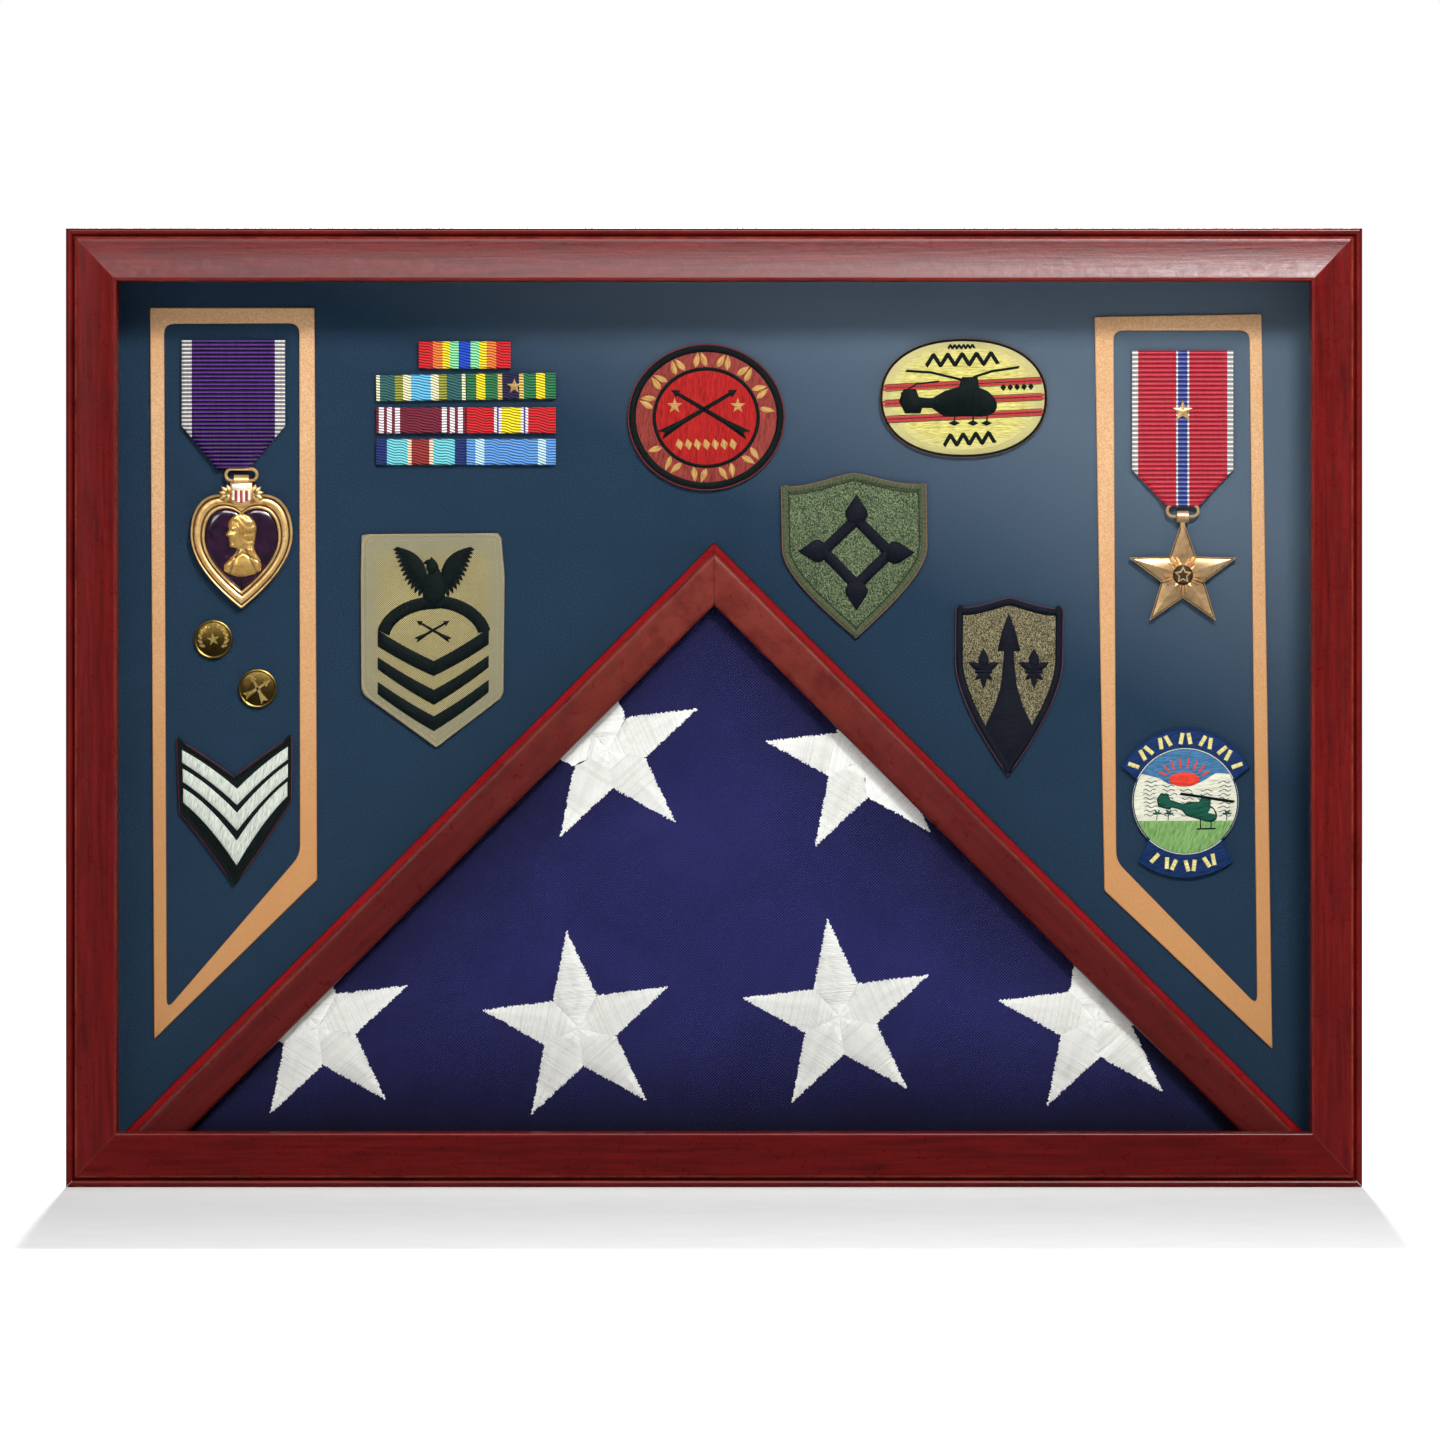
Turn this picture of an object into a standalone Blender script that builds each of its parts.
"""Shadow-box display case for a folded flag, with the flag and the insignia in it.

Every size below is in millimetres and becomes metres in add_solid. The case stands on Z = 0,
its glass faces -Y and +X is to the right of someone who looks at the glass.
"""

import math

import bmesh
import bpy

MM = 0.001
GAP = 0.3  # between pieces that touch on the real case
MITRE_GAP = 0.15  # half of the gap in a mitre

# The case.
CASE_HALF_WIDTH = 317.5
CASE_HEIGHT = 470.0
OPENING_HALF_WIDTH = 292.3
OPENING_BOTTOM = 26.9
OPENING_TOP = 443.7
MOULDING_BACK = -26.0
MOULDING_WIDTH = 25.2  # the profile is drawn at this width and stretched to each side's own
GLASS_LEDGE = 10.6
GLASS_LEDGE_FRONT = -28.6
GLASS_THICKNESS = 2.2

# The box behind the moulding.
BOX_HALF_WIDTH = 315.5
BOX_HEIGHT = 468.0
BOARD_THICKNESS = 18.0
BOX_REAR = 44.0
PANEL_REBATE_WIDTH = 6.0
PANEL_REBATE_FRONT = 40.0
INNER_HALF_WIDTH = BOX_HALF_WIDTH - BOARD_THICKNESS
INNER_BOTTOM = BOARD_THICKNESS
INNER_TOP = BOX_HEIGHT - BOARD_THICKNESS

# The triangle that holds the flag. Its legs slope at 45 degrees.
APEX = 315.6
LEG_FOOT = INNER_BOTTOM + 0.4
DIVIDER_THICKNESS = 10.0
DIVIDER_FRONT = -15.7
TRIM_STARTS = 3.2  # from the divider's outer face, square to the leg
TRIM_WIDTH = 18.5
TRIM_FRONT = -25.4
TRIM_BACK = -16.0
FLAG_CLEARANCE = 0.8
FLAG_FRONT = -15.4
FLAG_BACK = 38.0
FLAG_PUFF = 4.5

# The board that carries the insignia.
BOARD_FRONT = -6.0
BOARD_BACK = -2.0
ON_BOARD = BOARD_FRONT - GAP

# Rear hardware.
BUTTON_LENGTH = 30.0
BUTTON_WIDTH = 9.6
BUTTON_THICKNESS = 1.5
BUTTON_PIVOT_IN = 5.0  # from the button's end to its screw
BUTTON_X = 205.0
BUTTON_HOLE_RADIUS = 2.06
SCREW_RADIUS = 2.0
SCREW_DEPTH = 9.0
LAND_MIDDLE = (BOARD_THICKNESS - PANEL_REBATE_WIDTH) / 2
HANGER_X = 120.0
HANGER_LENGTH = 46.0

# Medals.
WIRE_RADIUS = 0.8
WIRE_Y = -9.4
RING_HALF_WIDTH = 8.5
EYE_OUTER = 2.9
EYE_INNER = 1.75
EYE_BELOW_RING = 2.9  # the link's lower bar, below the link's middle
HEART_X = -233.0
HEART_RING_Z = 349.3
HEART_TIP_Z = 283.2
HEART_WIDTH = 50.4
HEART_HEIGHT = 55.8
STAR_X = 231.0
STAR_RING_Z = 331.6
STAR_CENTRE_Z = 299.9
STAR_RADIUS = 27.9

# Each slot's base colour, roughness and metallic value.
SLOTS = {
    "mahogany": ((0.20, 0.028, 0.022, 1.0), 0.32, 0.0),
    "case_wood": ((0.16, 0.03, 0.02, 1.0), 0.4, 0.0),
    "glass": ((0.85, 0.92, 0.92, 0.25), 0.03, 0.0),
    "navy_felt": ((0.02, 0.04, 0.085, 1.0), 0.92, 0.0),
    "gold_mat": ((0.68, 0.36, 0.15, 1.0), 0.55, 0.0),
    "flag_cloth": ((0.02, 0.02, 0.11, 1.0), 0.86, 0.0),
    "hardboard": ((0.20, 0.12, 0.06, 1.0), 0.65, 0.0),
    "brass": ((0.78, 0.55, 0.22, 1.0), 0.3, 1.0),
    "zinc": ((0.62, 0.62, 0.60, 1.0), 0.35, 1.0),
    "purple_ribbon": ((0.08, 0.02, 0.16, 1.0), 0.6, 0.0),
    "crimson_ribbon": ((0.50, 0.04, 0.06, 1.0), 0.6, 0.0),
    "medal_gold": ((0.80, 0.52, 0.24, 1.0), 0.3, 1.0),
    "purple_enamel": ((0.05, 0.01, 0.05, 1.0), 0.15, 0.0),
    "medal_bronze": ((0.66, 0.42, 0.20, 1.0), 0.35, 1.0),
    "striped_ribbon": ((0.45, 0.40, 0.20, 1.0), 0.65, 0.0),
    "red_patch": ((0.40, 0.03, 0.03, 1.0), 0.8, 0.0),
    "yellow_patch": ((0.72, 0.60, 0.10, 1.0), 0.8, 0.0),
    "tan_patch": ((0.52, 0.42, 0.25, 1.0), 0.85, 0.0),
    "green_patch": ((0.13, 0.17, 0.07, 1.0), 0.8, 0.0),
    "dark_patch": ((0.05, 0.06, 0.11, 1.0), 0.8, 0.0),
    "blue_patch": ((0.05, 0.12, 0.30, 1.0), 0.8, 0.0),
    "chevron_patch": ((0.60, 0.62, 0.58, 1.0), 0.75, 0.0),
    "aged_brass": ((0.42, 0.30, 0.10, 1.0), 0.42, 1.0),
}


def material_for(slot):
    if slot in bpy.data.materials:
        return bpy.data.materials[slot]
    material = bpy.data.materials.new(slot)
    material.use_nodes = True
    shader = material.node_tree.nodes["Principled BSDF"]
    for key, value in zip(("Base Color", "Roughness", "Metallic"), SLOTS[slot]):
        shader.inputs[key].default_value = value
    return material


def add_solid(name, slot, points, faces, smooth=False):
    """One closed mesh from points in millimetres. Its origin is the middle of its bounding box."""
    middle = [(min(values) + max(values)) / 2 for values in zip(*points)]
    mesh = bpy.data.meshes.new(name)
    mesh.from_pydata([[MM * (value - m) for value, m in zip(point, middle)] for point in points],
                     [], faces)
    shape = bmesh.new()
    shape.from_mesh(mesh)
    bmesh.ops.recalc_face_normals(shape, faces=shape.faces)
    shape.to_mesh(mesh)
    shape.free()
    for polygon in mesh.polygons:
        polygon.use_smooth = smooth
    solid = bpy.data.objects.new(name, mesh)
    solid.location = [MM * value for value in middle]
    solid.data.materials.append(material_for(slot))
    bpy.context.scene.collection.objects.link(solid)
    return solid


def pivot(name, x, y, z, *solids):
    """An empty on a joint's axis, with the pieces that move about it as its children."""
    empty = bpy.data.objects.new(name, None)
    empty.location = (MM * x, MM * y, MM * z)
    bpy.context.scene.collection.objects.link(empty)
    for solid in solids:
        solid.parent = empty
        solid.location -= empty.location


def loft(name, slot, loops, closed=False, smooth=False):
    """Skins loops of equal length. An open row of loops gets a cap at each end."""
    count = len(loops[0])
    points = [point for loop in loops for point in loop]
    faces = []
    for row in range(len(loops) if closed else len(loops) - 1):
        here = row * count
        there = (row + 1) % len(loops) * count
        for i in range(count):
            j = (i + 1) % count
            faces.append((here + i, here + j, there + j, there + i))
    if not closed:
        faces.append(tuple(range(count)))
        faces.append(tuple(range(len(points) - count, len(points))))
    return add_solid(name, slot, points, faces, smooth)


def at_depth(outline, y):
    return [(x, y, z) for x, z in outline]


def plate(name, slot, outline, front, back, edge=0.0):
    """A flat piece that faces the glass. edge is the height and width of its softened front edge."""
    loops = [at_depth(outline, back)]
    if edge:
        loops.append(at_depth(outline, front + edge))
        loops.append(at_depth(inset(outline, edge), front))
    else:
        loops.append(at_depth(outline, front))
    return loft(name, slot, loops)


def inset(outline, distance):
    """The outline moved in by distance along the corners' bisectors. It runs anticlockwise."""
    moved = []
    for i, (x, z) in enumerate(outline):
        before = outline[i - 1]
        after = outline[(i + 1) % len(outline)]
        normals = [edge_normal(before, (x, z)), edge_normal((x, z), after)]
        nx = normals[0][0] + normals[1][0]
        nz = normals[0][1] + normals[1][1]
        share = distance * 2 / max(nx * nx + nz * nz, 0.4)
        moved.append((x + nx * share, z + nz * share))
    return moved


def edge_normal(start, end):
    """The inward normal of one edge of an anticlockwise outline."""
    dx = end[0] - start[0]
    dz = end[1] - start[1]
    length = math.hypot(dx, dz)
    return -dz / length, dx / length


def arc(x, z, radius_x, radius_z, start, end, steps):
    """Points on an ellipse's arc, between two angles in degrees."""
    points = []
    for i in range(steps + 1):
        angle = math.radians(start + (end - start) * i / steps)
        points.append((x + radius_x * math.cos(angle), z + radius_z * math.sin(angle)))
    return points


def circle(x, z, radius, steps=24):
    return arc(x, z, radius, radius, 0, 360 - 360 / steps, steps - 1)


def bezier(p0, p1, p2, p3, steps):
    """Points on a cubic curve, without its last one."""
    points = []
    for i in range(steps):
        t = i / steps
        s = 1 - t
        weights = (s**3, 3 * s * s * t, 3 * s * t * t, t**3)
        points.append(
            tuple(sum(w * p[k] for w, p in zip(weights, (p0, p1, p2, p3))) for k in (0, 1))
        )
    return points


def turned(outline, degrees, x, z):
    """The outline, drawn about its own middle, turned and put at x, z."""
    c = math.cos(math.radians(degrees))
    s = math.sin(math.radians(degrees))
    return [(x + u * c - v * s, z + u * s + v * c) for u, v in outline]


def rectangle(half_width, half_height):
    return [
        (-half_width, -half_height),
        (half_width, -half_height),
        (half_width, half_height),
        (-half_width, half_height),
    ]


def rounded_polygon(corners, radius, steps=4):
    """The outline with each corner rounded by a curve that starts radius away from it."""
    points = []
    for i, (x, z) in enumerate(corners):
        before = towards((x, z), corners[i - 1], radius)
        after = towards((x, z), corners[(i + 1) % len(corners)], radius)
        for k in range(steps + 1):
            t = k / steps
            points.append(
                tuple(
                    (1 - t) ** 2 * before[n] + 2 * t * (1 - t) * (x, z)[n] + t * t * after[n]
                    for n in (0, 1)
                )
            )
    return points


def towards(start, end, distance):
    length = math.hypot(end[0] - start[0], end[1] - start[1])
    return (
        start[0] + (end[0] - start[0]) * distance / length,
        start[1] + (end[1] - start[1]) * distance / length,
    )


def shave(solid, cutter, operation="DIFFERENCE"):
    """Cuts or joins one helper to a solid. The helper isn't part of the model."""
    cutter.hide_render = True
    cutter.display_type = "WIRE"
    modifier = solid.modifiers.new(cutter.name, "BOOLEAN")
    modifier.operation = operation
    modifier.solver = "EXACT"
    modifier.object = cutter


# ---- the moulding, the glass and the box ----


def moulding_profile():
    """(distance from the outer edge, depth): bead, groove, then a face that rises to the opening."""
    profile = [(0.0, MOULDING_BACK), (0.0, -41.3)]
    profile += [(1.7 + 1.7 * math.cos(a), -41.4 - 1.7 * math.sin(a))
                for a in (math.radians(d) for d in (150, 120, 90, 60, 30))]
    profile += [(3.5, -41.2), (4.3, -41.2), (4.6, -43.4), (5.2, -44.0)]
    face_steps = 6
    for i in range(1, face_steps + 1):
        t = i / face_steps
        profile.append((5.2 + 18.2 * t, -44.0 - 3.8 * t + 1.6 * t * (1 - t)))
    profile += [(24.4, -48.0), (25.0, -47.6), (MOULDING_WIDTH, -46.9)]
    profile += [
        (MOULDING_WIDTH, GLASS_LEDGE_FRONT),
        (GLASS_LEDGE, GLASS_LEDGE_FRONT),
        (GLASS_LEDGE, MOULDING_BACK),
    ]
    return profile


def board_profile():
    """(distance from the outer face, depth) of a box board, with the rebate for the back panel."""
    land = BOARD_THICKNESS - PANEL_REBATE_WIDTH
    front = MOULDING_BACK + GAP
    return [
        (0.0, front),
        (BOARD_THICKNESS, front),
        (BOARD_THICKNESS, PANEL_REBATE_FRONT),
        (land, PANEL_REBATE_FRONT),
        (land, BOX_REAR),
        (1.0, BOX_REAR),
        (0.0, BOX_REAR - 1.0),
    ]


def mitred_side(name, slot, profile, width, outer, inner, side):
    """One side of a mitred rectangle. outer and inner are (left, right, bottom, top)."""
    ends = {
        "bottom": ((0, 2), (1, 2)),
        "right": ((1, 2), (1, 3)),
        "top": ((1, 3), (0, 3)),
        "left": ((0, 3), (0, 2)),
    }[side]
    along = {"bottom": (1, 0), "right": (0, 1), "top": (-1, 0), "left": (0, -1)}[side]
    loops = []
    for (ix, iz), sign in zip(ends, (1, -1)):
        loop = []
        for distance, y in profile:
            t = distance / width
            x = outer[ix] + t * (inner[ix] - outer[ix]) + sign * along[0] * MITRE_GAP
            z = outer[iz] + t * (inner[iz] - outer[iz]) + sign * along[1] * MITRE_GAP
            loop.append((x, y, z))
        loops.append(loop)
    return loft(name, slot, loops)


def build_mouldings():
    outer = (-CASE_HALF_WIDTH, CASE_HALF_WIDTH, 0.0, CASE_HEIGHT)
    inner = (-OPENING_HALF_WIDTH, OPENING_HALF_WIDTH, OPENING_BOTTOM, OPENING_TOP)
    for side in ("top", "bottom", "left", "right"):
        mitred_side("moulding_" + side, "mahogany", moulding_profile(), MOULDING_WIDTH,
                    outer, inner, side)


def build_box():
    outer = (-BOX_HALF_WIDTH, BOX_HALF_WIDTH, 0.0, BOX_HEIGHT)
    inner = (-INNER_HALF_WIDTH, INNER_HALF_WIDTH, INNER_BOTTOM, INNER_TOP)
    boards = {}
    for side in ("top", "bottom", "left", "right"):
        boards[side] = mitred_side("box_board_" + side, "case_wood", board_profile(),
                                   BOARD_THICKNESS, outer, inner, side)
    for side in ("top", "bottom"):
        for x in (-BUTTON_X, BUTTON_X):
            shave(boards[side], screw_hole(side, x))


def screw_hole(side, x):
    """A blind hole behind a turn button. It stops short of the screw's own end."""
    hole = circle(x, land_z(side), BUTTON_HOLE_RADIUS)
    mouth = at_depth(hole, BOX_REAR + 1)
    bottom = at_depth(hole, BOX_REAR - SCREW_DEPTH - 0.5)
    return loft(f"hole_{side}_{x:.0f}", "case_wood", [mouth, bottom])


def land_z(side):
    """The height of the middle of a board's rear edge."""
    return LAND_MIDDLE if side == "bottom" else BOX_HEIGHT - LAND_MIDDLE


def build_glass():
    share = GLASS_LEDGE / MOULDING_WIDTH
    half_width = CASE_HALF_WIDTH - share * (CASE_HALF_WIDTH - OPENING_HALF_WIDTH) - GAP
    bottom = share * OPENING_BOTTOM + GAP
    top = CASE_HEIGHT - share * (CASE_HEIGHT - OPENING_TOP) - GAP
    outline = [(-half_width, bottom), (half_width, bottom), (half_width, top), (-half_width, top)]
    front = GLASS_LEDGE_FRONT + GAP / 2
    plate("glass_pane", "glass", outline, front, front + GLASS_THICKNESS)


# ---- the flag's triangle ----


def leg(name, slot, profile, side):
    """A 45-degree piece from the apex to the bottom board. profile is (distance in from the
    divider's outer face, depth)."""
    sign = -1 if side == "left" else 1
    drop = math.sqrt(2)
    upper = [(sign * MITRE_GAP, y, APEX - d * drop - MITRE_GAP) for d, y in profile]
    lower = [(sign * (APEX - d * drop - LEG_FOOT), y, LEG_FOOT) for d, y in profile]
    return loft(name, slot, [upper, lower])


def build_triangle():
    divider = [
        (0.0, DIVIDER_FRONT),
        (DIVIDER_THICKNESS, DIVIDER_FRONT),
        (DIVIDER_THICKNESS, PANEL_REBATE_FRONT),
        (0.0, PANEL_REBATE_FRONT),
    ]
    for side in ("left", "right"):
        leg("divider_" + side, "mahogany", divider, side)
        leg("trim_" + side, "mahogany", trim_profile(), side)


def trim_profile():
    """Flat moulding with both front arrises rounded and a slightly crowned face."""
    inner = TRIM_STARTS + TRIM_WIDTH
    profile = [(TRIM_STARTS, TRIM_BACK), (TRIM_STARTS, TRIM_FRONT + 1.6)]
    profile += [(TRIM_STARTS + 0.4, TRIM_FRONT + 0.8), (TRIM_STARTS + 1.3, TRIM_FRONT + 0.3)]
    profile += [(TRIM_STARTS + TRIM_WIDTH / 2, TRIM_FRONT)]
    profile += [(inner - 1.8, TRIM_FRONT + 0.4), (inner - 0.5, TRIM_FRONT + 1.2)]
    profile += [(inner, TRIM_FRONT + 2.4), (inner, TRIM_BACK)]
    return profile


def flag_outline():
    """The flag's rounded triangle and the middle of the circle that touches its three sides."""
    apex = APEX - (DIVIDER_THICKNESS + FLAG_CLEARANCE) * math.sqrt(2)
    base = INNER_BOTTOM + GAP
    reach = apex - base
    corners = [(-reach, base), (reach, base), (0.0, apex)]
    middle = (0.0, base + reach * (math.sqrt(2) - 1))
    return rounded_polygon(straight_split(corners, 6), 6.0, 3), middle


def straight_split(corners, pieces):
    """The corners with extra points along each straight side."""
    points = []
    for i, start in enumerate(corners):
        end = corners[(i + 1) % len(corners)]
        for k in range(pieces):
            t = k / pieces
            points.append((start[0] + t * (end[0] - start[0]), start[1] + t * (end[1] - start[1])))
    return points


def build_flag():
    """A firm cloth cushion: rounded edges, a face that swells to the glass, a flat back."""
    outline, middle = flag_outline()
    inradius = middle[1] - INNER_BOTTOM - GAP
    sections = [
        (4.0, FLAG_BACK),
        (0.0, FLAG_BACK - 5.0),
        (0.0, FLAG_FRONT + 7.0),
        (2.0, FLAG_FRONT + 2.0),
        (6.0, FLAG_FRONT),
        (20.0, FLAG_FRONT - 0.2),
        (40.0, FLAG_FRONT - 0.6 * FLAG_PUFF),
        (70.0, FLAG_FRONT - FLAG_PUFF),
    ]
    loops = []
    for distance, y in sections:
        scale = 1 - distance / inradius
        loops.append([(x * scale, y, middle[1] + (z - middle[1]) * scale) for x, z in outline])
    loft("folded_flag", "flag_cloth", loops, smooth=True)


# ---- the insignia board and its mats ----


def build_insignia_board():
    edge = INNER_HALF_WIDTH - GAP
    top = INNER_TOP - GAP
    apex = APEX + GAP * math.sqrt(2)
    outline = [(-edge, apex - edge), (0.0, apex), (edge, apex - edge), (edge, top), (-edge, top)]
    plate("insignia_board", "navy_felt", outline, BOARD_FRONT, BOARD_BACK)


def framed_plate(name, slot, outer, inner, front, back):
    """A border between two outlines with the same number of points."""
    loops = [at_depth(outer, back), at_depth(outer, front + 0.4), at_depth(inset(outer, 0.4), front)]
    loops += [at_depth(inset(inner, -0.4), front), at_depth(inner, front + 0.4), at_depth(inner, back)]
    return loft(name, slot, loops, closed=True)


def build_mats():
    left_outer = [(-276.2, 70.9), (-195.8, 149.6), (-197.1, 431.7), (-278.2, 431.7)]
    left_inner = [(-270.0, 85.6), (-204.3, 161.7), (-204.6, 424.1), (-271.3, 423.8)]
    right_outer = [(192.4, 144.3), (275.3, 66.0), (270.0, 428.7), (187.6, 427.3)]
    right_inner = [(198.3, 158.8), (267.8, 87.6), (264.0, 420.5), (197.0, 420.5)]
    front = ON_BOARD - 1.2
    for name, outer, inner in (
        ("mat_left", left_outer, left_inner),
        ("mat_right", right_outer, right_inner),
    ):
        framed_plate(name, "gold_mat", rounded_polygon(outer, 1.0),
                     rounded_polygon(inner, 5.0), front, ON_BOARD)


# ---- medals ----


def wire_loop(name, slot, x, z, half_width, half_height):
    """A flat oval link of round wire, in the plane of the board."""
    end = half_height - WIRE_RADIUS
    reach = half_width - half_height
    path = arc(x + reach, z, end, end, -90, 90, 8) + arc(x - reach, z, end, end, 90, 270, 8)
    loops = []
    for i, (px, pz) in enumerate(path):
        across = wire_direction(path, i)
        loop = []
        for k in range(10):
            angle = 2 * math.pi * k / 10
            out = WIRE_RADIUS * math.cos(angle)
            y = WIRE_Y + WIRE_RADIUS * math.sin(angle)
            loop.append((px + across[0] * out, y, pz + across[1] * out))
        loops.append(loop)
    return loft(name, slot, loops, closed=True, smooth=True)


def wire_direction(path, i):
    """The unit vector across a closed path at one of its points."""
    before = path[i - 1]
    after = path[(i + 1) % len(path)]
    dx = after[0] - before[0]
    dz = after[1] - before[1]
    length = math.hypot(dx, dz)
    return dz / length, -dx / length


def eye(name, slot, x, z, half_width):
    """The tube that a pendant hangs by. The link's lower bar runs through it along X."""
    loops = []
    for px, radius in (
        (x - half_width, EYE_OUTER),
        (x + half_width, EYE_OUTER),
        (x + half_width, EYE_INNER),
        (x - half_width, EYE_INNER),
    ):
        loops.append([(px, y, pz) for y, pz in circle(WIRE_Y, z, radius, 20)])
    return loft(name, slot, loops, closed=True, smooth=True)


def medal_ribbon(name, slot, x, top, shoulder, foot, width, foot_width):
    """Ribbon folded to a narrow end at the link."""
    half = width / 2
    foot_half = foot_width / 2
    outline = [(x - foot_half, foot), (x + foot_half, foot), (x + half, shoulder)]
    outline += [(x + half, top), (x - half, top), (x - half, shoulder)]
    plate(name, slot, outline, -9.6, ON_BOARD, edge=0.4)


def heart_outline(width, height):
    """Anticlockwise from the tip, which is at 0, 0."""
    half = width / 2
    side = bezier((0.0, 0.0), (0.44 * half, 0.16 * height), (half, 0.40 * height),
                  (half, 0.66 * height), 8)
    lobe = bezier((half, 0.66 * height), (half, 1.08 * height), (0.24 * half, 1.06 * height),
                  (0.0, 0.93 * height), 8)
    right = side + lobe
    left = [(-u, v) for u, v in reversed(right[1:])]
    return right + [(0.0, 0.93 * height)] + left


def heart_loop(scale, y):
    """The heart's outline shrunk about its middle, at one depth."""
    middle = 0.56 * HEART_HEIGHT
    loop = []
    for u, v in heart_outline(HEART_WIDTH, HEART_HEIGHT):
        loop.append((HEART_X + u * scale, y, HEART_TIP_Z + middle + (v - middle) * scale))
    return loop


def build_heart_medal():
    medal_ribbon("heart_ribbon", "purple_ribbon", -237.0, 415.7, 373.3, 354.0, 50.9, 15.2)
    wire_loop("heart_link", "medal_gold", HEART_X, HEART_RING_Z, RING_HALF_WIDTH, 3.7)
    body = loft("heart_body", "medal_gold", [
        heart_loop(0.97, -8.0),
        heart_loop(1.0, -8.6),
        heart_loop(1.0, -10.6),
        heart_loop(0.96, -11.2),
        heart_loop(0.90, -11.2),
        heart_loop(0.86, -10.2),
        heart_loop(0.80, -10.2),
        heart_loop(0.77, -10.9),
        heart_loop(0.73, -10.9),
        heart_loop(0.71, -9.4),
    ])
    shave(body, crest_helper(), "UNION")
    helper = eye("heart_eye", "medal_gold", HEART_X, HEART_RING_Z - EYE_BELOW_RING, 3.5)
    shave(body, helper, "UNION")
    enamel = loft("heart_enamel", "purple_enamel", [
        heart_loop(0.69, -9.7), heart_loop(0.69, -10.3), heart_loop(0.60, -10.6)])
    pivot("heart_pendant", HEART_X, WIRE_Y, HEART_RING_Z - EYE_BELOW_RING, body, enamel, build_bust())


def crest_helper():
    """The small shield and its leaves, between the heart's lobes."""
    right = [(0.0, -5.4), (5.5, -3.6), (9.6, -2.6), (10.6, 0.4), (7.2, 2.6), (6.4, 6.0)]
    shield = right + [(-u, v) for u, v in reversed(right[1:])]
    outline = [(HEART_X + u, 338.6 + v) for u, v in shield]
    return loft("crest", "medal_gold", [at_depth(outline, -8.3), at_depth(outline, -11.4),
                                        at_depth(inset(outline, 0.8), -12.2)])


def bust_outline():
    """A plain head and shoulders in profile, one unit from chin to crown, anticlockwise."""
    face = [(0.05, 1.0), (-0.2, 0.97), (-0.36, 0.84), (-0.41, 0.68), (-0.39, 0.54)]
    face += [(-0.48, 0.37), (-0.4, 0.31), (-0.41, 0.2), (-0.37, 0.13), (-0.37, 0.05)]
    neck = [(-0.28, 0.0), (-0.12, 0.06), (-0.11, -0.12), (-0.3, -0.28), (-0.37, -0.45)]
    shoulder = [(-0.05, -0.56), (0.3, -0.5), (0.46, -0.34), (0.3, -0.14), (0.24, 0.04)]
    hair = [(0.36, 0.2), (0.38, 0.4), (0.42, 0.6), (0.34, 0.86), (0.22, 0.96)]
    return face + neck + shoulder + hair


def build_bust():
    """The relief on the heart's enamel."""
    unit = 18.0
    foot_z = 309.8
    loops = []
    for scale, y in ((1.0, -10.9), (1.0, -11.5), (0.93, -12.2), (0.72, -12.7)):
        loops.append([(HEART_X + unit * u * scale, y, foot_z + unit * (0.25 + (v - 0.25) * scale))
                      for u, v in bust_outline()])
    return loft("heart_bust", "medal_gold", loops, smooth=True)


def star_outline(radius, waist, turn=0.0):
    """Five points, anticlockwise from the top."""
    points = []
    for i in range(10):
        r = radius if i % 2 == 0 else waist
        angle = math.radians(90 + turn + 36 * i)
        points.append((r * math.cos(angle), r * math.sin(angle)))
    return points


def ridged_star(name, slot, x, z, radius, back, edge, peak):
    """A star that rises from its edge to one point in the middle."""
    outline = [(x + u, z + v) for u, v in star_outline(radius, radius * 0.40)]
    count = len(outline)
    points = at_depth(outline, back) + at_depth(outline, edge) + [(x, peak, z)]
    faces = [tuple(range(count))]
    for i in range(count):
        j = (i + 1) % count
        faces.append((i, j, count + j, count + i))
        faces.append((count + i, count + j, 2 * count))
    return add_solid(name, slot, points, faces)


def build_star_medal():
    medal_ribbon("star_ribbon", "crimson_ribbon", STAR_X, 410.6, 351.7, 335.8, 49.9, 17.6)
    wire_loop("star_link", "medal_bronze", STAR_X, STAR_RING_Z, RING_HALF_WIDTH, 3.7)
    body = ridged_star("star_body", "medal_bronze", STAR_X, STAR_CENTRE_Z, STAR_RADIUS,
                       -8.0, -9.4, -13.0)
    shave(body, star_neck(), "UNION")
    helper = eye("star_eye", "medal_bronze", STAR_X, STAR_RING_Z - EYE_BELOW_RING, 2.6)
    shave(body, helper, "UNION")
    pivot("star_pendant", STAR_X, WIRE_Y, STAR_RING_Z - EYE_BELOW_RING, body)
    ridged_star("star_ribbon_device", "medal_gold", STAR_X, 380.6, 4.2, -9.9, -10.3, -11.2)


def star_neck():
    """Joins the star's top point to its eye."""
    outline = [(STAR_X + u, 325.0 + v) for u, v in rectangle(1.6, 1.6)]
    return loft("neck", "medal_bronze", [at_depth(outline, -8.2), at_depth(outline, -10.6)])


# ---- ribbon bars, discs and patches ----


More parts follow.
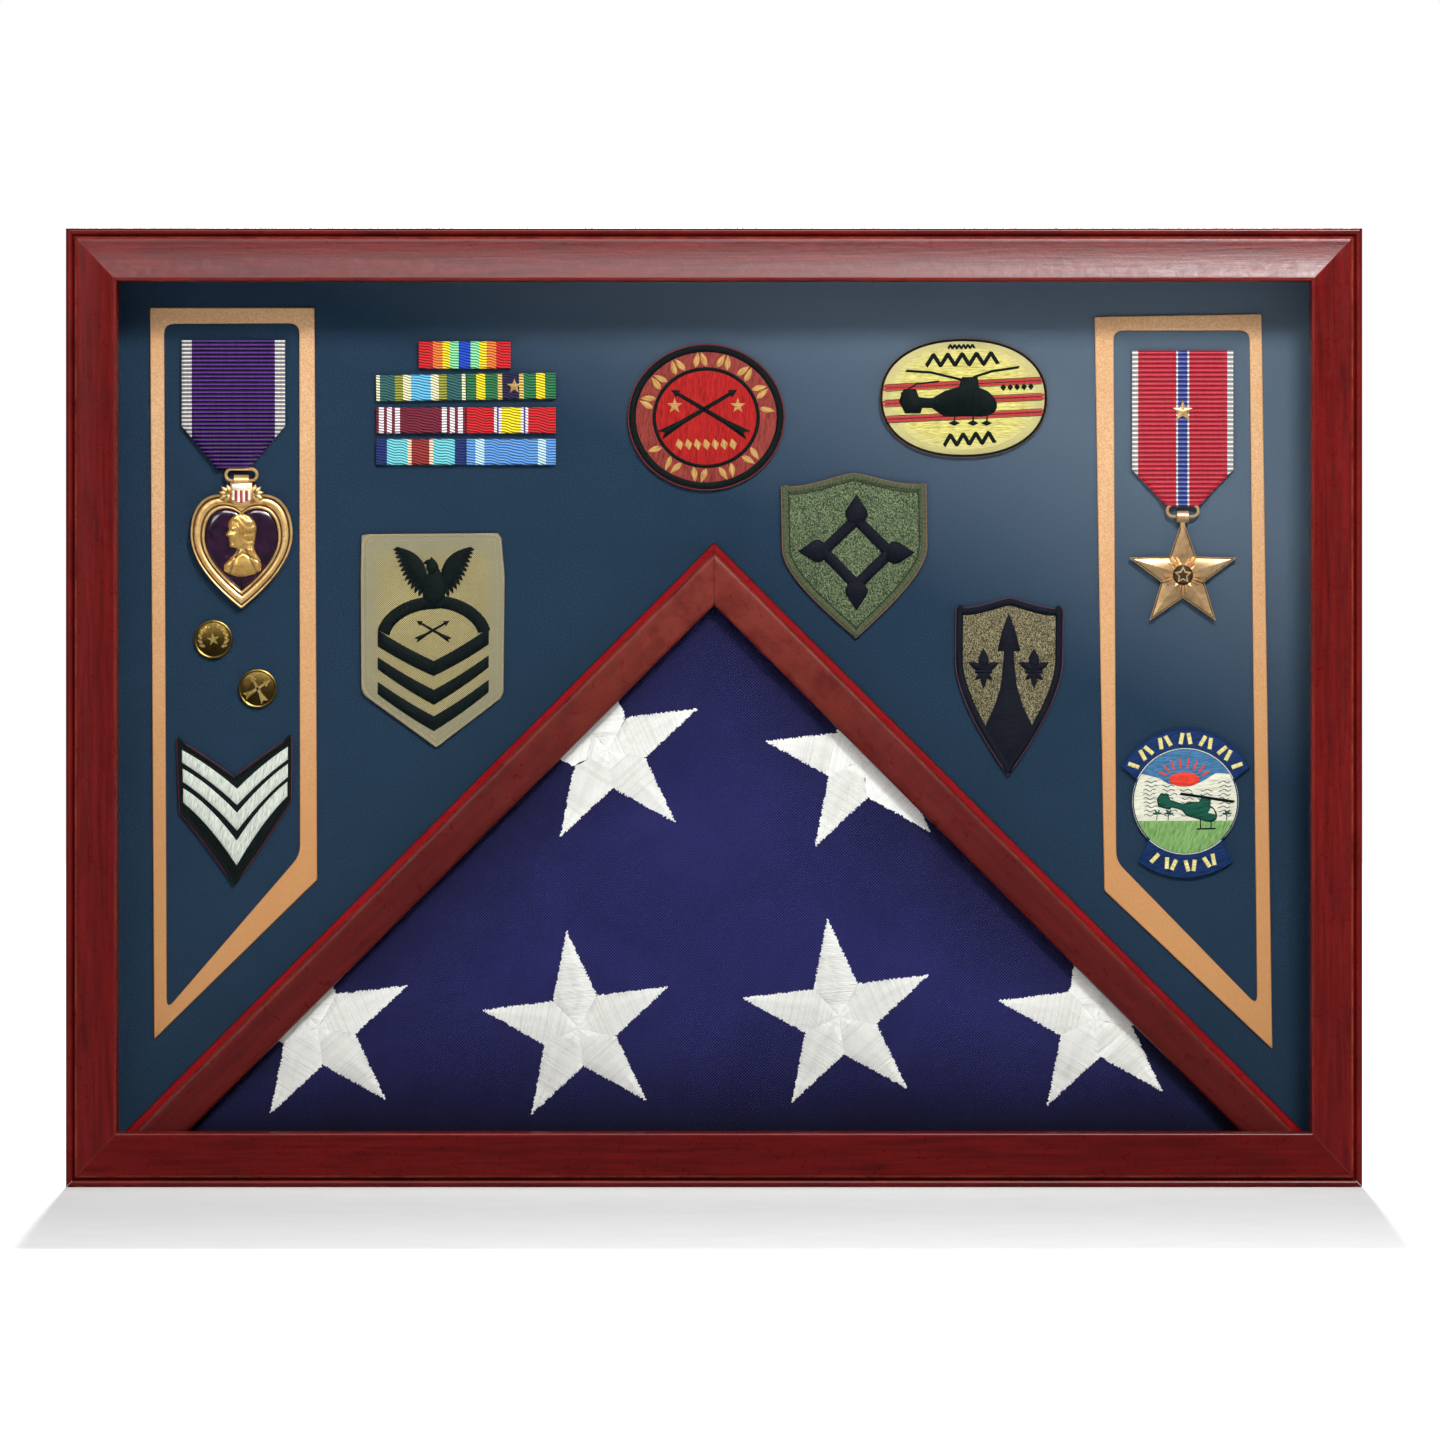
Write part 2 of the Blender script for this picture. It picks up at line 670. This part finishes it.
def build_ribbon_bars():
    front = ON_BOARD - 2.8
    bars = [("ribbon_bar_top", -123.0, 408.4, 22.6, 6.7, 0.0)]
    for row, (z, tilt) in enumerate(((392.6, 0.8), (376.2, 0.0), (360.6, 0.0)), start=1):
        for side, sign in (("left", -1), ("right", 1)):
            lift = math.tan(math.radians(tilt)) * sign * 22.2
            bars.append((f"ribbon_bar_{row}_{side}", -122.3 + sign * 22.25, z + lift, 22.0, 6.4, tilt))
    for name, x, z, half_width, half_height, tilt in bars:
        outline = turned(rectangle(half_width, half_height), tilt, x, z)
        plate(name, "striped_ribbon", outline, front, ON_BOARD, edge=0.6)
    ridged_star("ribbon_bar_device", "brass", -98.5, 392.9, 3.6, front - 0.3, front - 0.7, front - 1.5)


def build_discs():
    """Domed collar discs with a raised rim."""
    for name, x, z in (("collar_disc_upper", -247.0, 268.1), ("collar_disc_lower", -225.1, 243.9)):
        loops = []
        for radius, y in ((9.0, ON_BOARD), (9.6, ON_BOARD - 0.6), (9.6, ON_BOARD - 1.6),
                          (9.1, ON_BOARD - 2.1), (8.4, ON_BOARD - 1.8), (5.5, ON_BOARD - 2.6),
                          (2.0, ON_BOARD - 3.0)):
            loops.append(at_depth(circle(x, z, radius, 28), y))
        loft(name, "aged_brass", loops, smooth=True)


def shield_outline(half_width, top, peak, side, tip):
    """A shield with a peaked top edge and curved lower sides, anticlockwise from its tip."""
    right = bezier((0.0, tip), (0.45 * half_width, tip * 0.62), (half_width, side - 0.3 * (side - tip)),
                   (half_width, side), 7)
    shoulder = bezier((half_width, top), (0.6 * half_width, top - 1.0), (0.3 * half_width, peak - 1.5),
                      (0.0, peak), 5)
    half = right + [(half_width, side)] + shoulder
    return half + [(0.0, peak)] + [(-u, v) for u, v in reversed(half[1:])]


def build_patches():
    front = ON_BOARD - 1.9
    edge = 0.6
    plate("round_patch", "red_patch", arc(-3.9, 377.7, 38.4, 35.8, 0, 351, 39), front, ON_BOARD, edge)
    plate("oval_patch", "yellow_patch", oval_outline(123.0, 387.2, 41.3, 29.3), front, ON_BOARD, edge)
    badge = [(-136.9, 214.9), (-103.9, 240.0), (-103.3, 300.0), (-105.2, 320.6), (-173.9, 320.0),
             (-174.3, 300.0), (-174.0, 241.6)]
    plate("rating_badge", "tan_patch", badge, front, ON_BOARD, edge)
    green = turned(shield_outline(35.6, 36.0, 42.0, 6.0, -39.0), 1.0, 69.4, 308.0)
    plate("green_shield_patch", "green_patch", green, front, ON_BOARD, edge)
    dark = turned(shield_outline(26.4, 38.5, 43.4, 13.0, -44.0), -0.5, 145.3, 245.2)
    plate("dark_shield_patch", "dark_patch", dark, front, ON_BOARD, edge)
    chevron = [(-236.6, 147.0), (-208.4, 188.6), (-208.2, 220.4), (-236.6, 200.3), (-265.0, 219.2),
               (-263.6, 183.1)]
    plate("chevron_patch", "chevron_patch", chevron, front, ON_BOARD, edge)
    plate("landscape_patch", "blue_patch", tabbed_disc(232.4, 188.3, 26.2), front, ON_BOARD, edge)


def oval_outline(x, z, half_width, half_height):
    """An oval with fuller shoulders than an ellipse."""
    points = []
    for i in range(40):
        angle = 2 * math.pi * i / 40
        c = math.cos(angle)
        s = math.sin(angle)
        points.append((x + half_width * math.copysign(abs(c) ** 0.9, c),
                       z + half_height * math.copysign(abs(s) ** 0.9, s)))
    return points


def tabbed_disc(x, z, radius):
    """A disc with an arched tab above it and a shorter one below."""
    points = arc(x, z, radius, radius, -46, 24, 8)
    points += arc(x, z, radius + 9.8, radius + 9.8, 28, 152, 14)
    points += arc(x, z, radius, radius, 156, 226, 8)
    points += arc(x, z, radius + 11.5, radius + 11.5, 232, 308, 9)
    return points


# ---- the back ----


def build_back_panel():
    land = BOARD_THICKNESS - PANEL_REBATE_WIDTH
    half_width = BOX_HALF_WIDTH - land - GAP
    bottom = land + GAP
    top = BOX_HEIGHT - land - GAP
    outline = [(-half_width, bottom), (half_width, bottom), (half_width, top), (-half_width, top)]
    panel = plate("back_panel", "hardboard", outline, PANEL_REBATE_FRONT + GAP, BOX_REAR - 0.2)
    pivot("back_panel_slide", 0.0, PANEL_REBATE_FRONT + GAP, CASE_HEIGHT / 2, panel)


def button_outline(x, z, direction):
    """A strip with round ends. Its screw is near the end that faces away from direction."""
    half_width = BUTTON_WIDTH / 2
    near = -BUTTON_PIVOT_IN + half_width
    far = BUTTON_LENGTH - BUTTON_PIVOT_IN - half_width
    ends = arc(far, 0.0, half_width, half_width, -90, 90, 8)
    ends += arc(near, 0.0, half_width, half_width, 90, 270, 8)
    turn = 0 if direction > 0 else 180
    return turned(ends, turn, x, z)


def build_turn_buttons():
    """Strips that pivot on screws. They lie along the case's edge, clear of the panel."""
    front = BOX_REAR + GAP
    back = front + BUTTON_THICKNESS
    for side in ("top", "bottom"):
        for hand, x in (("left", -BUTTON_X), ("right", BUTTON_X)):
            z = land_z(side)
            name = f"turn_button_{side}_{hand}"
            button = plate(name, "brass", button_outline(x, z, -x), front, back)
            hole = circle(x, z, BUTTON_HOLE_RADIUS)
            helper = loft("hole_" + name, "brass", [at_depth(hole, front - 1), at_depth(hole, back + 1)])
            shave(button, helper)
            pivot("pivot_" + name, x, front, z, button)
            build_screw(f"screw_{side}_{hand}", x, z, back + 0.2)


def build_screw(name, x, z, under_head):
    """A pan-head screw with a slot."""
    loops = []
    for radius, y in (
        (SCREW_RADIUS * 0.4, BOX_REAR - SCREW_DEPTH),
        (SCREW_RADIUS, BOX_REAR - SCREW_DEPTH + 2.5),
        (SCREW_RADIUS, under_head),
        (4.0, under_head),
        (4.0, under_head + 0.9),
        (3.2, under_head + 1.7),
        (1.6, under_head + 2.0),
    ):
        loops.append(at_depth(circle(x, z, radius), y))
    screw = loft(name, "brass", loops, smooth=True)
    slot = [(x + u, z + v) for u, v in rectangle(5.0, 0.5)]
    helper = loft("slot_" + name, "brass", [at_depth(slot, under_head + 1.1), at_depth(slot, under_head + 3)])
    shave(screw, helper)


def hanger_outline(x, z):
    """A strip with teeth along its lower edge, anticlockwise."""
    half = HANGER_LENGTH / 2
    points = [(x - half, z - 3.4), (x - half + 7, z - 3.4)]
    teeth = 11
    pitch = (HANGER_LENGTH - 16) / teeth
    for i in range(teeth):
        start = x - half + 8 + i * pitch
        points += [(start, z - 2.6), (start + pitch / 2, z - 0.9)]
    points += [(x + half - 8, z - 2.6), (x + half - 7, z - 3.4), (x + half, z - 3.4)]
    points += [(x + half, z + 3.4), (x - half, z + 3.4)]
    return points


def build_hangers():
    """Sawtooth hangers, each held by two nails."""
    z = land_z("top") + 0.5
    front = BOX_REAR + GAP
    for hand, x in (("left", -HANGER_X), ("right", HANGER_X)):
        plate("hanger_" + hand, "zinc", hanger_outline(x, z), front, front + 1.0)
        for end, shift in (("outer", -1), ("inner", 1)):
            nail_x = x + shift * (HANGER_LENGTH / 2 - 3.5)
            loops = []
            for radius, y in ((1.8, front + 1.2), (1.8, front + 1.7), (0.9, front + 2.1)):
                loops.append(at_depth(circle(nail_x, z, radius, 16), y))
            loft(f"nail_{hand}_{end}", "zinc", loops, smooth=True)


def clear_scene():
    for old in list(bpy.data.objects):
        bpy.data.objects.remove(old, do_unlink=True)


def main():
    clear_scene()
    build_mouldings()
    build_box()
    build_glass()
    build_triangle()
    build_flag()
    build_insignia_board()
    build_mats()
    build_heart_medal()
    build_star_medal()
    build_ribbon_bars()
    build_discs()
    build_patches()
    build_back_panel()
    build_turn_buttons()
    build_hangers()


main()
